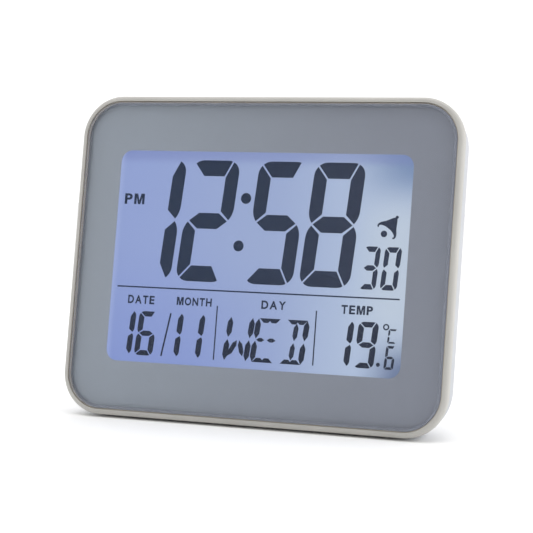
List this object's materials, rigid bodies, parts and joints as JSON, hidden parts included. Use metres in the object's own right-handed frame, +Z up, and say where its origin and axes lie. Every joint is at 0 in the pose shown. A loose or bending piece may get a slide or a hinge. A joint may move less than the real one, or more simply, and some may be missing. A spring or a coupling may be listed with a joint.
{
  "type": "desk alarm clock",
  "caption": "Free-standing digital alarm clock with a rounded face panel, a backlit liquid crystal window, rear buttons, a top snooze bar and a battery hump that serves as its stand.",
  "frame": {"origin": "middle of the footprint, on the table plane that the rubber feet stand on", "axes": "+X to the viewer's right across the face, +Y back from the face, +Z up"},
  "size_m": [0.12, 0.0382, 0.0953],
  "materials": {
    "off_white_plastic": "fine satin moulding, off-white",
    "clear_acrylic": "polished clear acrylic",
    "grey_print": "even grey printed film, glossy behind the lens",
    "display_film": "satin polarising film, lit from behind",
    "display_glass": "thin clear glass",
    "white_film": "white diffusing film",
    "guide_acrylic": "clear ridged acrylic",
    "circuit_board": "green solder mask",
    "led_body": "white surface-mount body with yellow phosphor",
    "tinned_metal": "tinned wire",
    "white_frame": "white moulded holder",
    "elastomer": "layered silicone",
    "black_epoxy": "glossy black epoxy",
    "metal_can": "drawn can",
    "capacitor_sleeve": "shrunk sleeve",
    "resistor_body": "ceramic chips",
    "sensor_bead": "glass bead",
    "switch_plastic": "black moulding",
    "switch_can": "folded tinplate",
    "plunger_plastic": "black moulding",
    "key_plastic": "satin grey moulding",
    "bar_plastic": "satin light grey moulding",
    "cell_sleeve": "printed shrink sleeve with steel ends",
    "contact_steel": "nickel-plated spring steel",
    "red_insulation": "red PVC insulation",
    "black_insulation": "black PVC insulation",
    "sounder_brass": "thin brass disc",
    "sounder_ceramic": "silvered ceramic",
    "screw_steel": "zinc-plated steel",
    "foot_rubber": "soft black rubber",
    "foam": "closed-cell foam"
  },
  "bodies": {
    "clock": {"backlight_leds": "led_body", "black_lead": "black_insulation", "board_screws": "screw_steel", "capacitor": "capacitor_sleeve", "case_screws": "screw_steel", "chip_blob": "black_epoxy", "chip_resistors": "resistor_body", "connector_strip": "elastomer", "diffuser_film": "white_film", "display_frame": "white_frame", "front_bezel": "off_white_plastic", "front_lens": "clear_acrylic", "lcd_front_glass": "display_glass", "lcd_front_polariser": "display_film", "lcd_rear_glass": "display_glass", "lcd_rear_polariser": "display_film", "led_board": "circuit_board", "led_pins": "tinned_metal", "light_guide": "guide_acrylic", "link_contact": "contact_steel", "lower_cell": "cell_sleeve", "main_board": "circuit_board", "negative_contact": "contact_steel", "positive_contact": "contact_steel", "printed_mask": "grey_print", "quartz_crystal": "metal_can", "rear_case": "off_white_plastic", "red_lead": "red_insulation", "reflector_film": "white_film", "rubber_feet": "foot_rubber", "slide_switch": "switch_can", "snooze_switch": "switch_plastic", "sounder_ceramic": "sounder_ceramic", "sounder_disc": "sounder_brass", "sounder_lead_inner": "red_insulation", "sounder_lead_outer": "black_insulation", "switch_bodies": "switch_plastic", "temperature_sensor": "sensor_bead", "upper_cell": "cell_sleeve"},
    "snooze_bar": {"snooze_bar": "bar_plastic", "snooze_plunger": "plunger_plastic"},
    "alarm_slider": {"alarm_slider": "key_plastic"},
    "battery_door": {"battery_door": "off_white_plastic", "door_pad": "foam"},
    "set_button": {"set_button": "key_plastic", "set_plunger": "plunger_plastic"},
    "up_button": {"up_button": "key_plastic", "up_plunger": "plunger_plastic"},
    "down_button": {"down_button": "key_plastic", "down_plunger": "plunger_plastic"},
    "alarm_button": {"alarm_button": "key_plastic", "alarm_plunger": "plunger_plastic"},
    "unit_button": {"unit_button": "key_plastic", "unit_plunger": "plunger_plastic"}
  },
  "joints": [
    {"name": "set_press", "type": "slide", "parent": "clock", "child": "set_button", "axis": [0, -0.9803, 0.1977], "range_m": [0, 0.0006], "stiffness_N_per_m": 500},
    {"name": "up_press", "type": "slide", "parent": "clock", "child": "up_button", "axis": [0, -0.9803, 0.1977], "range_m": [0, 0.0006], "stiffness_N_per_m": 500},
    {"name": "down_press", "type": "slide", "parent": "clock", "child": "down_button", "axis": [0, -0.9803, 0.1977], "range_m": [0, 0.0006], "stiffness_N_per_m": 500},
    {"name": "alarm_press", "type": "slide", "parent": "clock", "child": "alarm_button", "axis": [0, -0.9803, 0.1977], "range_m": [0, 0.0006], "stiffness_N_per_m": 500},
    {"name": "unit_press", "type": "slide", "parent": "clock", "child": "unit_button", "axis": [0, -0.9803, 0.1977], "range_m": [0, 0.0006], "stiffness_N_per_m": 500},
    {"name": "snooze_press", "type": "slide", "parent": "clock", "child": "snooze_bar", "axis": [0, -0.1977, -0.9803], "range_m": [0, 0.0008], "stiffness_N_per_m": 800},
    {"name": "alarm_slide", "type": "slide", "parent": "clock", "child": "alarm_slider", "axis": [1, 0, 0], "range_m": [0, 0.004]},
    {"name": "door_hinge", "type": "hinge", "parent": "clock", "child": "battery_door", "pos_m": [0, 0.01157, 0.00358], "axis": [-1, 0, 0], "range_deg": [0, 70]}
  ]
}
